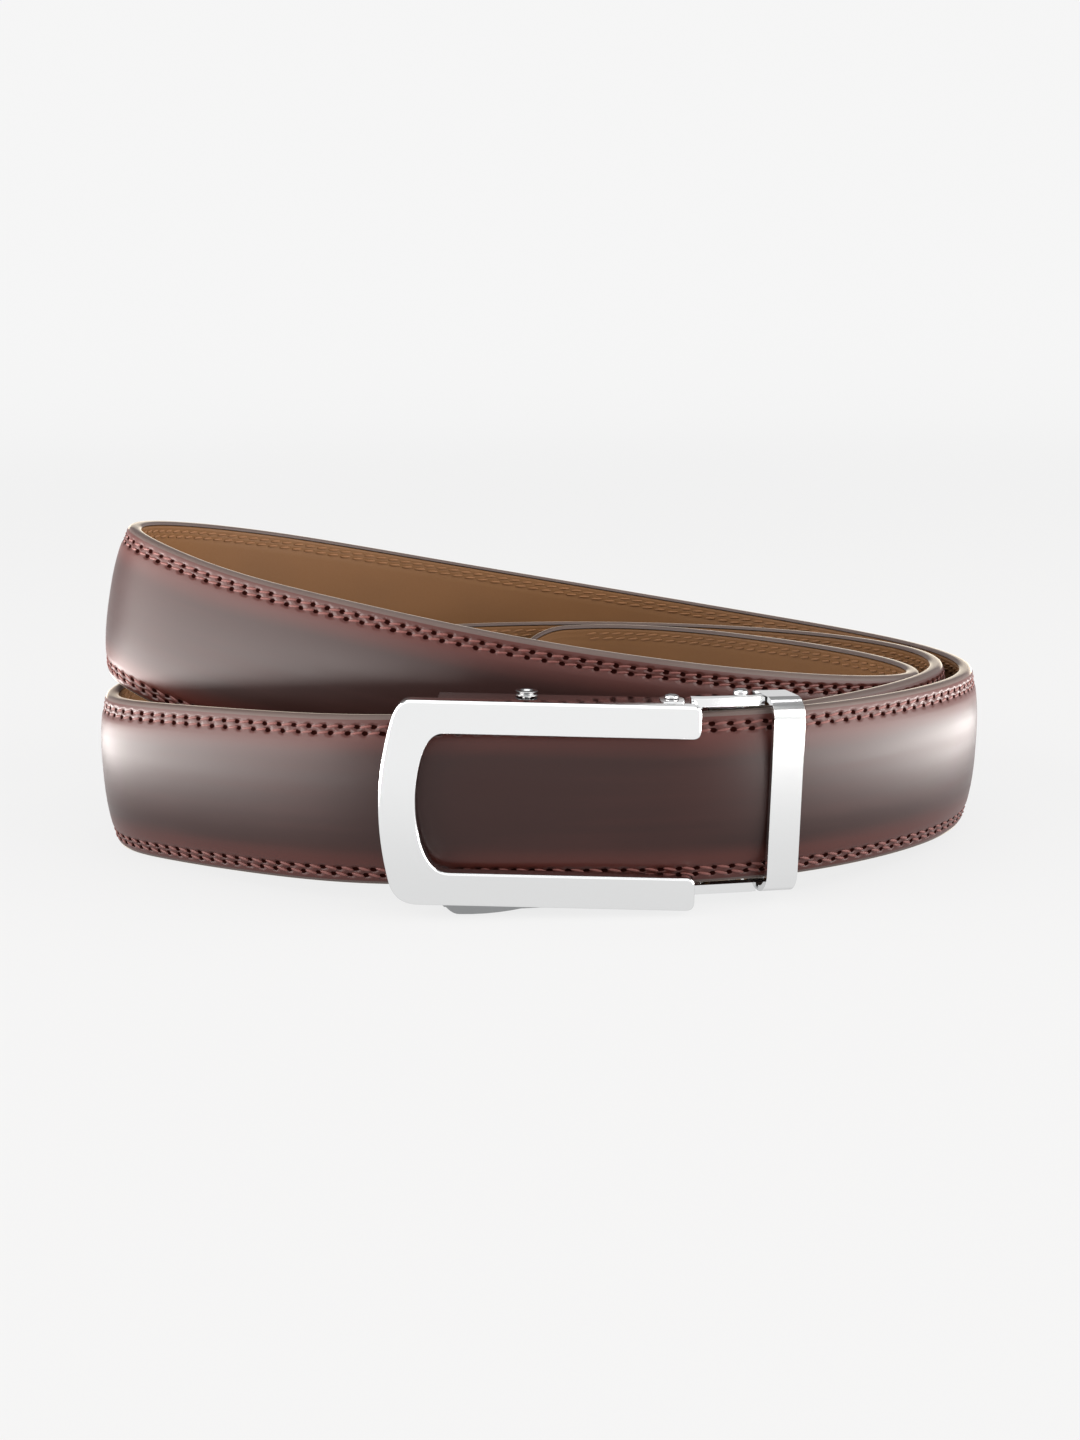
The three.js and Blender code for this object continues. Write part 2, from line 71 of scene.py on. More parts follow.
# distances from the middle where the leather's face has a point of its outline
FACE_SIDES = (0, 2.5, 5, 7.5, 9.5, 11, 12.2, 13, 13.5, 14.05, 14.4, 14.9, 15.35, 15.9, 16.3)
# way over the leather from its middle past which the edge is painted
PAINT_FROM = 16.6

# Stitches in mm: each row's distance from the middle, its pitch, and how far along it is shifted
OUTER_ROW = 15.35
INNER_ROW = 14.05
STITCH_ROWS = ((OUTER_ROW, 3.5, 0.0), (INNER_ROW, 3.62, 0.9))
FIRST_STITCH = 3
# a stitch's width across, height off the leather and length along
STITCH_SIZE = (0.72, 0.6, 2.9)
# top and bottom edge: sense, slant of the stitches in degrees, height of their middle over the leather
STITCHED_EDGES = ((1, 9, -0.1), (-1, -13, 0.02))
LINING_STITCH_SINK = 0.05
# how far each row pulls the leather down, and how wide
OUTER_PULL = 0.22
INNER_PULL = 0.3
PULL_REACH = 0.7
HOLE_RADIUS = 0.5
HOLE_STRETCH = 1.45

# Buckle's own frame: the middle of the strap where it passes through, in the CAD's lean and tilt
BUCKLE = (Matrix.Translation((COIL_OFFSET + Vector((0, 0, 22.3))) * MM)
          @ Matrix.Rotation(math.radians(-1.6), 4, "X") @ Matrix.Rotation(math.radians(2.2), 4, "Y")
          @ Matrix.Scale(MM, 4))

# Frame outlines, as in the CAD: left, bow, then for the top and for the bottom the level, and the reach
# and drop of the corner's bend
OUTSIDE = (-32.2, 2.2, 20.6, 4, 4.5, -20.9, 6, 4.5)
WINDOW = (-24.8, 0.8, 13.9, 4.5, 6, -14.1, 6, 7.5)
BEND_STEPS = 10
BOW_STEPS = 16
ARM_END_STEPS = 5
FRAME_RIGHT = 31
FRAME_BACK = -3.7
FRAME_FRONT = -7.6
ARM_END_ROUNDING = 1.7
FRAME_ROUNDING = 0.6
FRAME_PIN_PLACE = (25.5, 0.6)
EAR_RADIUS = 2.4
EAR_HOLE = 0.98
EAR_SIDES = 32
# how far a lug runs into the frame's back
EAR_ROOT = 0.2
EAR_LEVELS = ((20.15, 20.75), (-20.55, -19.95))

# Pins turned from (radius, level) rows, foot to head
JAW_PIN_PLACE = (40.3, 9.8)
LEVER_PIN_PLACE = (-3.4, 3.8)
PIN_STEPS = 40
FRAME_PIN_ROWS = [
    (0, 19.1), (0.9, 19.1), (0.9, 20.84), (1.4, 20.84), (1.5, 20.94), (1.47, 21.15), (1.3, 21.37),
    (0.95, 21.52), (0.5, 21.56), (0, 21.57)]
LOWER_PIN_ROWS = [
    (0, -21.4), (0.5, -21.38), (0.95, -21.33), (1.3, -21.22), (1.47, -21.05), (1.5, -20.9),
    (1.4, -20.8), (0.9, -20.8), (0.9, -18.9), (0, -18.9)]
LEVER_PIN_ROWS = [
    (0, -22.95), (1.7, -22.95), (1.8, -22.85), (1.8, -22.4), (1.7, -22.3), (1, -22.3), (1, 20.15),
    (2.2, 20.15), (2.3, 20.22), (2.25, 20.32), (1.75, 20.5), (1.6, 20.65), (1.75, 20.8), (2.25, 20.98),
    (2.3, 21.08), (2.2, 21.15), (1.45, 21.13), (1.25, 21.0), (1.1, 20.8), (0.9, 20.75), (0, 20.75)]
JAW_PIN_ROWS = [
    (0, -20.75), (1.2, -20.75), (1.3, -20.65), (1.3, -20.0), (1.2, -19.95), (0.8, -19.95), (0.8, 20.05),
    (1.3, 20.05), (1.48, 20.2), (1.58, 20.45), (1.6, 20.65), (1.55, 20.9), (1.38, 21.15), (1.1, 21.33),
    (0.7, 21.42), (0, 21.45)]
# the flat arm that the lever's pin carries: left, right, front, back and half height
PAWL = (-9.5, -3.4, 2.6, 3.4, 5)
PAWL_ROUNDING = 0.15

# Edges sharper than this many degrees stay crisp
CRISP_METAL = 35
CRISP_ROUND = 50

# Floor in metres, from the middle outwards, and its glow
FLOOR_MIDDLE = 0.4
FLAT_RADIUS = 1.5
SWEEP_RADIUS = 1.7
SWEEP_ANGLE = 72
SWEEP_STEPS = 12
FLOOR_SIDES = 96
FLOOR_GLOW_NEAR = 0.8
FLOOR_GLOW_FAR = 0.88

# Light and camera
WARM_LIGHT = (1, 0.95, 0.92)
CAMERA_PITCH = math.radians(12.5)
CAMERA_ROLL = math.radians(-0.8)
CAMERA_PLACE = (COIL_OFFSET + Vector((0, -350, 115.8))) * MM


def spline_weights(f):
    """Weights of four neighbouring rows at the fraction f of a span."""
    return ((1 - f) ** 3 / 6, (3 * f ** 3 - 6 * f ** 2 + 4) / 6,
            (-3 * f ** 3 + 3 * f ** 2 + 3 * f + 1) / 6, f ** 3 / 6)


def slope_weights(f):
    """The same for the direction that the route takes there."""
    return (-(1 - f) ** 2 / 2, (3 * f * f - 4 * f) / 2, (-3 * f * f + 2 * f + 1) / 2, f * f / 2)


def route_at(u, weights, fields):
    first = min(int(u), len(ROUTE) - 4)
    w = weights(u - first)
    return [sum(w[k] * ROUTE[first + k][field] for k in range(4)) for field in range(fields)]


def station(u):
    """Middle, across (to the top edge), outward and along directions of the strap at u, in mm."""
    x, y, z, lean = route_at(u, spline_weights, 4)
    along = Vector(route_at(u, slope_weights, 3)).normalized()
    level = along.cross(Vector((0, 0, 1))).normalized()
    outward = Matrix.Rotation(math.radians(lean), 3, along) @ level
    return Vector((x, y, z)) + COIL_OFFSET, outward.cross(along), outward, along


def station_matrix(u, narrowing=1.0):
    """Takes (side, depth, 0) in mm at one place of the strap to metres in the row frame."""
    middle, across, outward, along = station(u)
    turn = Matrix((across * narrowing, outward, along)).transposed().to_4x4()
    return Matrix.Scale(MM, 4) @ Matrix.Translation(middle) @ turn


# Length along the strap in mm against u, to space stitches evenly
GRID = np.linspace(0, LAST, LENGTH_SAMPLES)
PLACES = np.array([route_at(u, spline_weights, 3) for u in GRID])
LENGTHS = np.concatenate([[0], np.cumsum(np.linalg.norm(np.diff(PLACES, axis=0), axis=1))])
STRAP_LENGTH = float(LENGTHS[-1])


def u_at(length):
    return float(np.interp(length, LENGTHS, GRID))


def length_at(u):
    return float(np.interp(u, GRID, LENGTHS))


def strap_stations():
    """(u, narrowing) pairs: even steps, then the rounded tail."""
    tail_start = STRAP_LENGTH - TAIL_ROUNDING
    step = 1 / STEPS_PER_SPAN
    pairs = [(k * step, 1.0) for k in range(int(u_at(tail_start) / step))]
    for k in range(TAIL_STEPS + 1):
        angle = math.pi / 2 * k / TAIL_STEPS
        narrowing = TAIL_END_FRACTION + (1 - TAIL_END_FRACTION) * math.cos(angle)
        pairs.append((u_at(tail_start + TAIL_ROUNDING * math.sin(angle)), narrowing))
    return pairs


def row_pull(side, row, depth):
    """How far one stitch row pulls the leather down at a distance from the middle."""
    return depth * math.exp(-((abs(side) - row) / PULL_REACH) ** 2)


def crown(side):
    """Height of the leather's face over the strap's middle plane, with the sewn margin pulled down."""
    part = min(abs(side) / HALF_WIDTH, 1)
    height = HALF_EDGE + CROWN_HEIGHT * (1 - part ** CROWN_POWER)
    pull = row_pull(side, OUTER_ROW, OUTER_PULL) + row_pull(side, INNER_ROW, INNER_PULL)
    return height - pull


def leather_section():
    """Closed outline (side, depth), counter-clockwise from the crown's middle towards the bottom edge."""
    rim = [(16.75, 1.46), (17.15, 1.25), (17.42, 0.85), (17.5, 0.3), (17.5, -0.4), (17.4, -0.95),
           (17.2, -1.28), (16.9, -1.4)]
    back = [(16.85, -0.32), (8, 0.0)]
    half = [(s, crown(s)) for s in FACE_SIDES] + rim + back
    left = [(-s, d) for s, d in half]
    return left + [(0, 0.12)] + list(reversed(half[1:]))


def lining_section():
    """Closed outline of the lining, from the middle of its visible face towards the bottom edge."""
    low = -HALF_EDGE
    face = [(4, 0.4), (8, 0.27), (12, 0.12), (13.2, 0.08), (13.85, 0.2), (14.5, 0.04), (14.75, 0.04),
            (15.35, 0.17), (16, 0.02), (16.4, 0.05), (16.6, 0.22)]
    hidden = [(16.6, 0.7), (8, 1.0)]
    half = [(s, low + d) for s, d in face + hidden]
    left = [(-s, d) for s, d in half]
    return [(0, low + 0.45)] + left + [(0, low + 1.2)] + half[::-1]


def new_object(name, mesh, *materials):
    obj = bpy.data.objects.new(name, mesh)
    bpy.context.scene.collection.objects.link(obj)
    for material in materials:
        mesh.materials.append(material)
    return obj


def finish_mesh(name, bm, *materials, sharp=None):
    mesh = bpy.data.meshes.new(name)
    bm.to_mesh(mesh)
    bm.free()
    mesh.shade_smooth()
    if sharp is not None:
        mesh.set_sharp_from_angle(angle=math.radians(sharp))
    return new_object(name, mesh, *materials)


def shade_evenly(obj):
    """Keeps broad flats flat beside their rounded edges."""
    weighted = obj.modifiers.new("even_shading", "WEIGHTED_NORMAL")
    weighted.keep_sharp = True
    return obj


def add_shape(bm, shape):
    """Adds a finished shape to another one, and frees it."""
    mesh = bpy.data.meshes.new("shape")
    shape.to_mesh(mesh)
    shape.free()
    bm.from_mesh(mesh)
    bpy.data.meshes.remove(mesh)


def grown_verts(geom):
    return [g for g in geom if isinstance(g, bmesh.types.BMVert)]


def sweep_strap(name, section, rims, *materials):
    """Extrudes a section along the whole strap. The UV map is (length along, girth from the middle) in m.

    rims lists the girths in mm past which the next material starts.
    """
    bm = bmesh.new()
    along_layer = bm.verts.layers.float.new("along")
    girth_layer = bm.verts.layers.float.new("girth")
    pairs = strap_stations()
    here = station_matrix(*pairs[0])
    ring = [bm.verts.new(here @ Vector((s, d, 0))) for s, d in section]
    girth = 0.0
    for k, vert in enumerate(ring):
        if k:
            girth += math.dist(section[k], section[k - 1])
        vert[girth_layer] = girth
    total = girth + math.dist(section[0], section[-1])
    edges = [bm.edges.new((ring[k], ring[(k + 1) % len(ring)])) for k in range(len(ring))]
    bm.faces.new(ring)
    for u, narrowing in pairs[1:]:
        there = station_matrix(u, narrowing)
        grown = bmesh.ops.extrude_edge_only(bm, edges=edges)["geom"]
        verts = grown_verts(grown)
        edges = [g for g in grown if isinstance(g, bmesh.types.BMEdge)]
        bmesh.ops.transform(bm, matrix=there @ here.inverted(), verts=verts)
        for vert in verts:
            vert[along_layer] = length_at(u)
        here = there
    bmesh.ops.contextual_create(bm, geom=edges)
    bmesh.ops.recalc_face_normals(bm, faces=bm.faces)
    uv = bm.loops.layers.uv.new("strap")
    for face in bm.faces:
        values = [loop.vert[girth_layer] for loop in face.loops]
        wraps = max(values) - min(values) > total / 2
        top_side = wraps or sum(values) / len(values) > total / 2
        for loop, value in zip(face.loops, values):
            signed = total - value if top_side and value > 0 else -value
            loop[uv].uv = (loop.vert[along_layer] * MM, signed * MM)
        nearest = min(abs(loop[uv].uv.y) for loop in face.loops)
        face.material_index = sum(nearest > rim * MM for rim in rims)
    return finish_mesh(name, bm, *materials, sharp=CRISP_ROUND)


def stitch_template():
    """One stitch in strap axes: X across, Y outward, Z along."""
    bm = bmesh.new()
    bmesh.ops.create_uvsphere(bm, u_segments=6, v_segments=5, radius=0.5)
    bmesh.ops.scale(bm, vec=STITCH_SIZE, verts=bm.verts)
    return bm


def thread_row(bm, template, side, pitch, shift, slant, depth):
    """Copies one stitch along a row, each turned by slant degrees in the strap's face."""
    count = int((STRAP_LENGTH - TAIL_ROUNDING - 2 * FIRST_STITCH) / pitch)
    for k in range(count):
        u = u_at(FIRST_STITCH + shift + k * pitch)
        place = (station_matrix(u) @ Matrix.Translation((side, depth, 0))
                 @ Matrix.Rotation(math.radians(slant), 4, "Y"))
        stitch = template.copy()
        stitch.transform(place)
        add_shape(bm, stitch)


def make_threads(name, face_sign, material):
    """Both stitch rows along both edges, on the leather's face (1) or on the lining (-1)."""
    bm = bmesh.new()
    template = stitch_template()
    for sign, slant, standing in STITCHED_EDGES:
        for side, pitch, shift in STITCH_ROWS:
            depth = crown(side) + standing if face_sign > 0 else -HALF_EDGE + LINING_STITCH_SINK
            thread_row(bm, template, sign * side, pitch, shift, slant * face_sign, depth)
    template.free()
    return finish_mesh(name, bm, material)


def bezier_points(a, control, b, count):
    return [(a[0] * (1 - t) ** 2 + control[0] * 2 * t * (1 - t) + b[0] * t * t,
             a[1] * (1 - t) ** 2 + control[1] * 2 * t * (1 - t) + b[1] * t * t)
            for t in (k / count for k in range(1, count + 1))]


def side_points(left, bow, z0, reach0, drop0, z1, reach1, drop1):
    """The bowed closed end of the frame from level z0 to z1, with its two bends."""
    corner = left + bow
    sense = math.copysign(1, z0 - z1)
    start = z0 - sense * drop0
    end = z1 + sense * drop1
    slope = 4 * bow / abs(start - end)
    points = [(corner + reach0, z0)]
    points += bezier_points(points[-1], (corner + slope * drop0, z0), (corner, start), BEND_STEPS)
    points += bezier_points(points[-1], (corner - 2 * bow, (start + end) / 2), (corner, end), BOW_STEPS)
    points += bezier_points(points[-1], (corner + slope * drop1, z1), (corner + reach1, z1), BEND_STEPS)
    return points


def arm_end_points(z0, z1):
    """The rounded end of an arm from level z0 to z1."""
    step = math.copysign(ARM_END_ROUNDING, z1 - z0)
    inner = FRAME_RIGHT - ARM_END_ROUNDING
    points = [(inner, z0)]
    points += bezier_points(points[-1], (FRAME_RIGHT, z0), (FRAME_RIGHT, z0 + step), ARM_END_STEPS)
    points.append((FRAME_RIGHT, z1 - step))
    points += bezier_points(points[-1], (FRAME_RIGHT, z1), (inner, z1), ARM_END_STEPS)
    return points


def frame_outline():
    left, bow, top, top_reach, top_drop, bottom, bottom_reach, bottom_drop = WINDOW
    back_up = (left, bow, bottom, bottom_reach, bottom_drop, top, top_reach, top_drop)
    return (side_points(*OUTSIDE) + arm_end_points(OUTSIDE[5], bottom)
            + side_points(*back_up) + arm_end_points(top, OUTSIDE[2]))


def ear_reach(angle):
    """Distance from the pin to a lug's outline: round behind the pin, straight sides towards the frame."""
    across, back = math.cos(angle), math.sin(angle)
    if back >= 0:
        return EAR_RADIUS
    to_frame = (FRAME_PIN_PLACE[1] - FRAME_BACK + EAR_ROOT) / -back
    return min(EAR_RADIUS / max(abs(across), 1e-6), to_frame)


def add_ear(bm, low, high):
    """A pierced lug between two levels."""
    x, y = FRAME_PIN_PLACE
    rings = []
    for hole in (True, False):
        ring = []
        for k in range(EAR_SIDES):
            angle = 2 * math.pi * k / EAR_SIDES
            radius = EAR_HOLE if hole else ear_reach(angle)
            ring.append(bm.verts.new((x + radius * math.cos(angle), y + radius * math.sin(angle), low)))
        rings.append(ring)
    inner, outer = rings
    flat = []
    for k in range(EAR_SIDES):
        following = (k + 1) % EAR_SIDES
        flat.append(bm.faces.new((outer[k], outer[following], inner[following], inner[k])))
    grown = bmesh.ops.extrude_face_region(bm, geom=flat)["geom"]
    bmesh.ops.translate(bm, vec=(0, 0, high - low), verts=grown_verts(grown))


def make_frame(material):
    """The hoop of three sides, open to the right, with its two pierced lugs."""
    bm = bmesh.new()
    verts = [bm.verts.new((x, FRAME_BACK, z)) for x, z in frame_outline()]
    back = bm.faces.new(verts)
    grown = bmesh.ops.extrude_face_region(bm, geom=[back])["geom"]
    front = [g for g in grown if isinstance(g, bmesh.types.BMFace)][0]
    bmesh.ops.translate(bm, vec=(0, FRAME_FRONT - FRAME_BACK, 0), verts=front.verts)
    bmesh.ops.recalc_face_normals(bm, faces=bm.faces)
    rims = [e for e in bm.edges if abs(e.verts[0].co.y - e.verts[1].co.y) < 0.01]
    bmesh.ops.bevel(bm, geom=rims, offset=FRAME_ROUNDING, affect="EDGES", segments=6, profile=0.5,
                    material=-1)
    for low, high in EAR_LEVELS:
        add_ear(bm, low, high)
    bmesh.ops.recalc_face_normals(bm, faces=bm.faces)
    bm.transform(BUCKLE)
    return shade_evenly(finish_mesh("buckle_frame", bm, material, sharp=CRISP_METAL))


def softened_copy(node, name, width, material):
    """A CAD node's own shape with small rounded edges."""
    bm = bmesh.new()
    bm.from_mesh(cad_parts[node].data)
    bmesh.ops.remove_doubles(bm, verts=bm.verts, dist=0.002 * MM)
    bmesh.ops.dissolve_limit(bm, angle_limit=math.radians(1), verts=bm.verts, edges=bm.edges)
    sharp = [e for e in bm.edges if e.is_manifold and e.calc_face_angle() > math.radians(CRISP_METAL)]
    bmesh.ops.bevel(bm, geom=sharp, offset=width * MM, affect="EDGES", segments=2, profile=0.5,
                    material=-1, clamp_overlap=True)
    return shade_evenly(finish_mesh(name, bm, material, sharp=CRISP_METAL))


def make_pin(name, place, rows, material, paddle=None):
    """A pin turned about its upright axis from (radius, level) rows, foot to head.

    paddle is (left, right, front, back, half height) of a flat arm that the pin carries.
    """
    x, y = place
    bm = bmesh.new()
    verts = [bm.verts.new((x + radius, y, level)) for radius, level in rows]
    edges = [bm.edges.new(pair) for pair in zip(verts, verts[1:])]
    bmesh.ops.spin(bm, geom=verts + edges, cent=(x, y, 0), axis=(0, 0, 1), angle=2 * math.pi,
                   steps=PIN_STEPS, use_merge=True)
    bmesh.ops.remove_doubles(bm, verts=bm.verts, dist=0.001)
    bmesh.ops.recalc_face_normals(bm, faces=bm.faces)
    if paddle:
        slab = bmesh.new()
        bmesh.ops.create_cube(slab, size=1)
        x0, x1, y0, y1, half = paddle
        bmesh.ops.scale(slab, vec=(x1 - x0, y1 - y0, 2 * half), verts=slab.verts)
        bmesh.ops.translate(slab, vec=((x0 + x1) / 2, (y0 + y1) / 2, 0), verts=slab.verts)
        bmesh.ops.bevel(slab, geom=slab.edges, offset=PAWL_ROUNDING, affect="EDGES", segments=2,
                        profile=0.5, material=-1)
        add_shape(bm, slab)
    bm.transform(BUCKLE)
    return finish_mesh(name, bm, material, sharp=CRISP_ROUND)


def node_tree(name):
    material = bpy.data.materials.new(name)
    material.use_nodes = True
    tree = material.node_tree
    return material, tree, tree.nodes["Principled BSDF"]


def math_node(tree, operation, a, b=None, c=None):
    """A Math node with sockets or plain numbers as inputs; gives its output socket."""
    node = tree.nodes.new("ShaderNodeMath")
    node.operation = operation
    for socket, value in zip(node.inputs, (a, b, c)):
        if isinstance(value, (int, float)):
            socket.default_value = value
        elif value is not None:
            tree.links.new(value, socket)
    return node.outputs[0]


def noise_node(tree, vector, scale, detail):
    node = tree.nodes.new("ShaderNodeTexNoise")
    node.inputs["Scale"].default_value = scale
    node.inputs["Detail"].default_value = detail
    tree.links.new(vector, node.inputs["Vector"])
    return node.outputs["Fac"]


def smooth_step(tree, value, first, last, low=0.0, high=1.0):
    """Goes smoothly from low to high while value goes from first to last; gives its output socket."""
    node = tree.nodes.new("ShaderNodeMapRange")
    node.interpolation_type = "SMOOTHSTEP"
    node.inputs["From Min"].default_value = first
    node.inputs["From Max"].default_value = last
    node.inputs["To Min"].default_value = low
    node.inputs["To Max"].default_value = high
    tree.links.new(value, node.inputs["Value"])
    return node.outputs[0]


def color_mix(tree, color_a, color_b, factor):
    """Mixes two colours, each a socket or three numbers; gives its output socket."""
    node = tree.nodes.new("ShaderNodeMix")
    node.data_type = "RGBA"
    for name, color in (("A", color_a), ("B", color_b)):
        if isinstance(color, tuple):
            node.inputs[name].default_value = (*color, 1)
        else:
            tree.links.new(color, node.inputs[name])
    tree.links.new(factor, node.inputs["Factor"])
    return node.outputs["Result"]


def bump_node(tree, height, strength, distance, over=None):
    """A bump of so many mm, on top of another one's normal if given; gives its output socket."""
    node = tree.nodes.new("ShaderNodeBump")
    node.inputs["Strength"].default_value = strength
    node.inputs["Distance"].default_value = distance * MM
    tree.links.new(height, node.inputs["Height"])
    if over is not None:
        tree.links.new(over, node.inputs["Normal"])
    return node.outputs["Normal"]


def row_girth(side):
    """Distance over the leather from its middle to a row, as the UV map counts it."""
    total = 0.0
    section = [(s, crown(s)) for s in FACE_SIDES]
    for (s0, d0), (s1, d1) in zip(section, section[1:]):
        if s1 > side + 0.01:
            break
        total += math.hypot(s1 - s0, d1 - d0)
    return total


def stitch_holes(tree, along, across, raggedness):
    """Mask of the needle holes, 1 in a hole, for their painted shade, and the height of the leather pulled
    down round them.
    """
    distances = []
    for row, pitch, shift in STITCH_ROWS:
        start = FIRST_STITCH + shift - pitch / 2
        phase = math_node(tree, "SUBTRACT", along, start * MM)
        off_hole = math_node(tree, "DIVIDE", math_node(tree, "PINGPONG", phase, pitch / 2 * MM), HOLE_STRETCH)
        off_row = math_node(tree, "SUBTRACT", across, row_girth(row) * MM)
        squares = [math_node(tree, "MULTIPLY", off, off) for off in (off_hole, off_row)]
        distances.append(math_node(tree, "SQRT", math_node(tree, "ADD", *squares)))
    nearest = math_node(tree, "SUBTRACT", math_node(tree, "MINIMUM", *distances), 0.25 * MM)
    ragged = math_node(tree, "MULTIPLY_ADD", raggedness, 0.5 * MM, nearest)
    mask = smooth_step(tree, ragged, HOLE_RADIUS * 1.15 * MM, HOLE_RADIUS * 0.75 * MM)
    height = smooth_step(tree, ragged, 0.0, 1.1 * MM)
    return mask, height


def leather_finish():
    """Burnished leather: dark middle, redder margins, brushed shine, fine grain, needle holes in painted
    shade.
    """
    material, tree, shader = node_tree("burnished_leather")
    nodes, links = tree.nodes, tree.links
    uv = nodes.new("ShaderNodeUVMap")
    uv.uv_map = "strap"
    split = nodes.new("ShaderNodeSeparateXYZ")
    links.new(uv.outputs["UV"], split.inputs[0])
    across = math_node(tree, "ABSOLUTE", split.outputs["Y"])
    margin = smooth_step(tree, across, 8 * MM, 13.5 * MM)
    place = nodes.new("ShaderNodeTexCoord").outputs["Object"]
    mottle = noise_node(tree, place, 26, 3)
    # brush strokes of the burnishing, drawn out along the strap
    drawn = nodes.new("ShaderNodeMapping")
    drawn.inputs["Scale"].default_value = (16, 330, 1)
    links.new(uv.outputs["UV"], drawn.inputs["Vector"])
    strokes = noise_node(tree, drawn.outputs["Vector"], 1, 4)
    patches = math_node(tree, "MULTIPLY_ADD", mottle, 0.5, -0.46)
    wander = math_node(tree, "MULTIPLY_ADD", strokes, 0.45, patches)
    redness = math_node(tree, "MULTIPLY_ADD", margin, 0.9, wander)
    shade = color_mix(tree, (0.0175, 0.0048, 0.0038), (0.05, 0.0112, 0.0082), redness)
    holes, pressed = stitch_holes(tree, split.outputs["X"], across, noise_node(tree, place, 900, 2))
    # the needle holes are darkened: painted shade
    links.new(color_mix(tree, shade, (0.008, 0.0016, 0.0012), holes), shader.inputs["Base Color"])
    uneven = math_node(tree, "MULTIPLY_ADD", mottle, 0.1, 0.28)
    worn = math_node(tree, "MULTIPLY_ADD", strokes, 0.14, uneven)
    links.new(math_node(tree, "MULTIPLY_ADD", holes, 0.4, worn), shader.inputs["Roughness"])
    grain = bump_node(tree, noise_node(tree, place, 2600, 4), 0.08, 0.05)
    links.new(bump_node(tree, pressed, 0.9, 0.35, grain), shader.inputs["Normal"])
    # no shine down in the needle holes
    links.new(math_node(tree, "MULTIPLY_ADD", holes, -0.32, 0.32), shader.inputs["Specular IOR Level"])
    return material


def plain_finish(name, color, roughness, grain_scale, grain_height, metallic=0.0, color_swing=0.15,
                 shine=0.5):
    """A finish whose colour and roughness wander a little, with a fine grain, its height in mm."""
    material, tree, shader = node_tree(name)
    links = tree.links
    place = tree.nodes.new("ShaderNodeTexCoord").outputs["Object"]
    darker = tuple(c * (1 - color_swing) for c in color)
    lighter = tuple(min(c * (1 + color_swing), 1) for c in color)
    patches = noise_node(tree, place, 60, 3)
    links.new(color_mix(tree, darker, lighter, patches), shader.inputs["Base Color"])
    grain = noise_node(tree, place, grain_scale, 5)
    worn = math_node(tree, "MULTIPLY_ADD", grain, roughness * 0.35, roughness * 0.82)
    links.new(worn, shader.inputs["Roughness"])
    links.new(bump_node(tree, grain, 0.3, grain_height), shader.inputs["Normal"])
    shader.inputs["Metallic"].default_value = metallic
    shader.inputs["Specular IOR Level"].default_value = shine
    return material


def light_painted_by_turn(name, color, turn_light_color, first, last, roughness, metallic, shine, floor_shade=1.0):
    """A finish that goes over to turn_light_color where it turns away, between the facing values first and
    last:
    a painted highlight where turn_light_color is lighter, painted shade where it is darker.

    floor_shade multiplies the colour down near the floor, as painted shade.
    """
    material, tree, shader = node_tree(name)
    nodes, links = tree.nodes, tree.links
    place = nodes.new("ShaderNodeTexCoord").outputs["Object"]
    buffing = noise_node(tree, place, 60, 3)
    # painted light and shade: the colour goes over where the surface turns away from the view
    turn = nodes.new("ShaderNodeLayerWeight")
    turn.inputs["Blend"].default_value = 0.5
    away = smooth_step(tree, turn.outputs["Facing"], first, last)
    split = nodes.new("ShaderNodeSeparateXYZ")
    links.new(place, split.inputs[0])
    # painted shade: the colour darkens towards the floor
    height = smooth_step(tree, split.outputs["Z"], 6 * MM, 34 * MM)
    front = color_mix(tree, tuple(c * floor_shade for c in color), color, height)
    turned = math_node(tree, "MULTIPLY_ADD", buffing, 0.04, away)
    links.new(color_mix(tree, front, turn_light_color, turned), shader.inputs["Base Color"])
    links.new(math_node(tree, "MULTIPLY_ADD", buffing, 0.04, roughness), shader.inputs["Roughness"])
    shader.inputs["Metallic"].default_value = metallic
    shader.inputs["Specular IOR Level"].default_value = shine
    return material


def floor_finish():
    """Pale floor with a little glow of its own, so that it stays even far from the lights."""
    material, tree, shader = node_tree("pale_floor")
    place = tree.nodes.new("ShaderNodeTexCoord").outputs["Object"]
    speck = noise_node(tree, place, 400, 2)
    shader.inputs["Base Color"].default_value = (0.06, 0.06, 0.06, 1)
    tree.links.new(math_node(tree, "MULTIPLY_ADD", speck, 0.04, 0.78), shader.inputs["Roughness"])
    shader.inputs["Specular IOR Level"].default_value = 0.0
    shader.inputs["Emission Color"].default_value = (1, 1, 1, 1)
    reach = tree.nodes.new("ShaderNodeVectorMath")
    reach.operation = "LENGTH"
    tree.links.new(place, reach.inputs[0])
    glow = smooth_step(tree, reach.outputs["Value"], 0.3, 2.2, FLOOR_GLOW_NEAR, FLOOR_GLOW_FAR)
    tree.links.new(glow, shader.inputs["Emission Strength"])
    return material


leather = leather_finish()
# the edge paint goes pale cream where seen at a graze: a painted highlight
edge_paint = light_painted_by_turn("painted_edge", (0.06, 0.04, 0.036), (0.6, 0.53, 0.43), 0.8, 0.93,
                          roughness=0.5, metallic=0.0, shine=0.3)
thread = plain_finish("waxed_thread", (0.115, 0.037, 0.031), 0.55, 3000, 0.1, shine=0.35)
lining_leather = plain_finish("tan_lining", (0.118, 0.0505, 0.0135), 0.62, 1400, 0.06,
                              color_swing=0.12, shine=0.35)
lining_thread = plain_finish("lining_thread", (0.155, 0.065, 0.019), 0.7, 3000, 0.1)
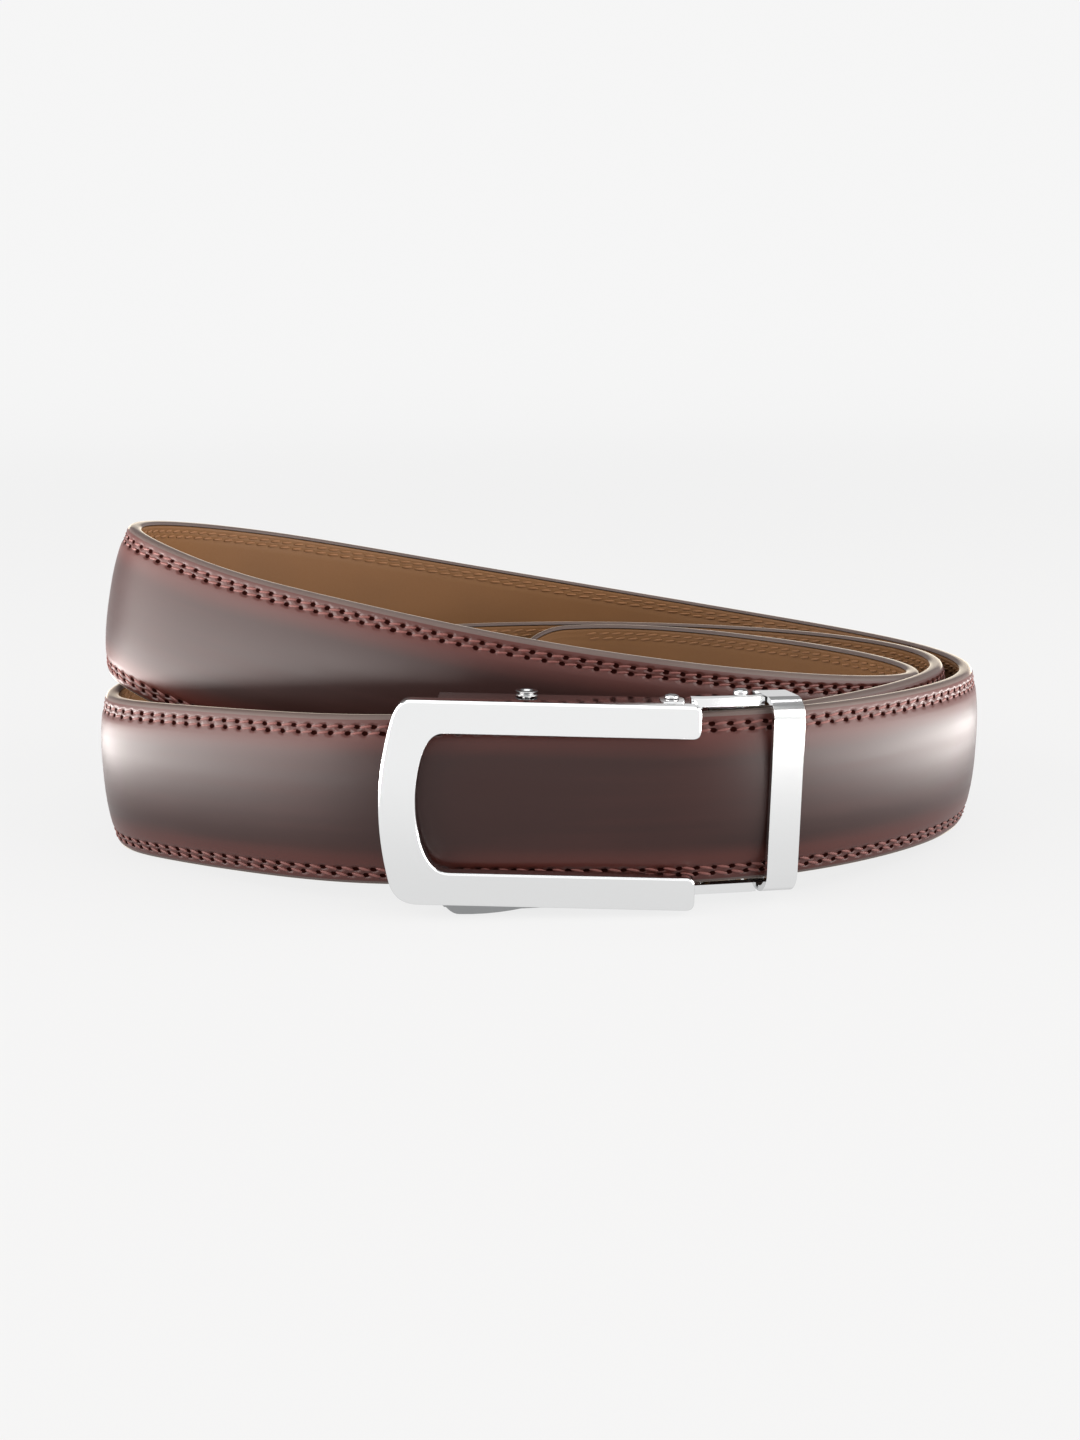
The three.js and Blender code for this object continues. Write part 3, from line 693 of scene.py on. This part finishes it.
# the chrome darkens on its rounded edges and towards the floor: painted reflection of darker surroundings and
# painted shade
chrome = light_painted_by_turn("polished_chrome", (0.93, 0.937, 0.94), (0.42, 0.42, 0.43), 0.5, 1.0,
                      roughness=0.08, metallic=1.0, shine=0.5, floor_shade=0.84)
# the pin steel darkens where it turns away: painted shade that rounds the heads
pin_steel = light_painted_by_turn("turned_steel", (0.6, 0.605, 0.61), (0.13, 0.13, 0.135), 0.15, 0.85,
                         roughness=0.22, metallic=1.0, shine=0.5)
steel = plain_finish("bright_steel", (0.72, 0.73, 0.74), 0.2, 700, 0.01, metallic=1.0, color_swing=0.04)
# the lever's steel is dark as painted shade, for the shadowed floor under the belt that it reflects
shade_painted_steel = plain_finish("lever_steel_painted_shade", (0.3, 0.305, 0.31), 0.3, 500, 0.01, metallic=1.0,
                          color_swing=0.12)

strap = sweep_strap("padded_strap", leather_section(), (PAINT_FROM,), leather, edge_paint)
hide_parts("strap")
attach(strap, "belt")
lining = sweep_strap("strap_lining", lining_section(), (), lining_leather)
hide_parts("lining")
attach(lining, "belt")
threads = make_threads("face_stitching", 1, thread)
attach(threads, "belt")
back_threads = make_threads("lining_stitching", -1, lining_thread)
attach(back_threads, "belt")

buckle_frame = make_frame(chrome)
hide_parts("frame")
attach(buckle_frame, "belt")
for node, width, body, finish, slot in (
        ("housing", 0.25, "belt", chrome, "buckle_chrome"),
        ("keeper", 0.25, "belt", chrome, "buckle_chrome"),
        ("jaw", 0.15, "belt", steel, "mechanism_steel"),
        ("release_lever", 0.2, "lever", shade_painted_steel, "mechanism_steel")):
    piece = softened_copy(node, node + "_finished", width, finish)
    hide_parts(node)
    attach(piece, body)
for node, place, rows, body, paddle in (
        ("frame_pin_top", FRAME_PIN_PLACE, FRAME_PIN_ROWS, "belt", None),
        ("frame_pin_bottom", FRAME_PIN_PLACE, LOWER_PIN_ROWS, "belt", None),
        ("jaw_pin", JAW_PIN_PLACE, JAW_PIN_ROWS, "belt", None),
        ("lever_pin", LEVER_PIN_PLACE, LEVER_PIN_ROWS, "lever", PAWL)):
    piece = make_pin(node + "_turned", place, rows, pin_steel, paddle)
    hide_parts(node)
    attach(piece, body)


def make_floor(material):
    """A wide round floor that sweeps up far from the belt, so that no horizon shows."""
    bm = bmesh.new()
    profile = [bm.verts.new((radius, 0, 0)) for radius in (0, FLOOR_MIDDLE, FLAT_RADIUS)]
    for k in range(1, SWEEP_STEPS + 1):
        angle = math.radians(SWEEP_ANGLE) * k / SWEEP_STEPS
        reach = FLAT_RADIUS + SWEEP_RADIUS * math.sin(angle)
        profile.append(bm.verts.new((reach, 0, SWEEP_RADIUS * (1 - math.cos(angle)))))
    lines = [bm.edges.new(pair) for pair in zip(profile, profile[1:])]
    bmesh.ops.spin(bm, geom=profile + lines, cent=(0, 0, 0), axis=(0, 0, 1), angle=2 * math.pi,
                   steps=FLOOR_SIDES, use_merge=True)
    bmesh.ops.remove_doubles(bm, verts=bm.verts, dist=0.0001)
    bmesh.ops.recalc_face_normals(bm, faces=bm.faces)
    bmesh.ops.reverse_faces(bm, faces=[f for f in bm.faces if f.normal.z < 0])
    return finish_mesh("floor", bm, material)


def area_light(name, place, target, width, height, radiance, warm=True):
    light = bpy.data.lights.new(name, "AREA")
    light.shape = "RECTANGLE"
    light.size = width
    light.size_y = height
    light.energy = radiance * math.pi * width * height
    light.color = WARM_LIGHT if warm else (1, 1, 1)
    obj = bpy.data.objects.new(name, light)
    obj.location = place
    obj.rotation_euler = (Vector(target) - Vector(place)).to_track_quat("-Z", "Y").to_euler()
    bpy.context.scene.collection.objects.link(obj)
    return obj


def floor_card(name, x):
    """A white card flat on the floor, out of the picture, that one flank of the leather reflects."""
    card = area_light(name, (x, -0.18, 0.002), (x, -0.18, 1), 0.5, 0.54, 15)
    card.visible_camera = False


def make_camera():
    """The photograph's camera, worked out from the belt's edges in it."""
    forward = Vector((0, math.cos(CAMERA_PITCH), -math.sin(CAMERA_PITCH)))
    level_up = Vector((0, math.sin(CAMERA_PITCH), math.cos(CAMERA_PITCH)))
    level_right = Vector((1, 0, 0))
    right = level_right * math.cos(CAMERA_ROLL) + level_up * math.sin(CAMERA_ROLL)
    up = level_up * math.cos(CAMERA_ROLL) - level_right * math.sin(CAMERA_ROLL)
    lens = bpy.data.cameras.new("camera")
    lens.lens = 45
    lens.sensor_width = 36
    lens.sensor_fit = "AUTO"
    lens.clip_start = 0.01
    camera = bpy.data.objects.new("camera", lens)
    camera.matrix_world = (Matrix.Translation(CAMERA_PLACE)
                           @ Matrix((right, up, -forward)).transposed().to_4x4())
    bpy.context.scene.collection.objects.link(camera)
    bpy.context.scene.camera = camera


floor = make_floor(floor_finish())

world = bpy.data.worlds.new("studio")
bpy.context.scene.world = world
world.use_nodes = True
world.node_tree.nodes["Background"].inputs["Color"].default_value = (1, 1, 1, 1)
world.node_tree.nodes["Background"].inputs["Strength"].default_value = 0.3

area_light("softbox_left", (-0.9, -0.3, 0.43), (0, -0.1, 0.1), 1.2, 0.84, 5.6)
area_light("softbox_right", (0.9, -0.3, 0.43), (0, -0.1, 0.1), 1.2, 0.84, 5.6)
floor_card("card_left", -0.42)
floor_card("card_right", 0.42)
area_light("softbox_top", (0, 0.2, 1.4), (0, 0, 0), 1.2, 1.0, 1.8, warm=False)
area_light("softbox_front", (0, -1.0, 1.0), (0, 0, 0), 1.8, 1.8, 0.9, warm=False)
make_camera()

bpy.context.scene.view_settings.view_transform = "Standard"
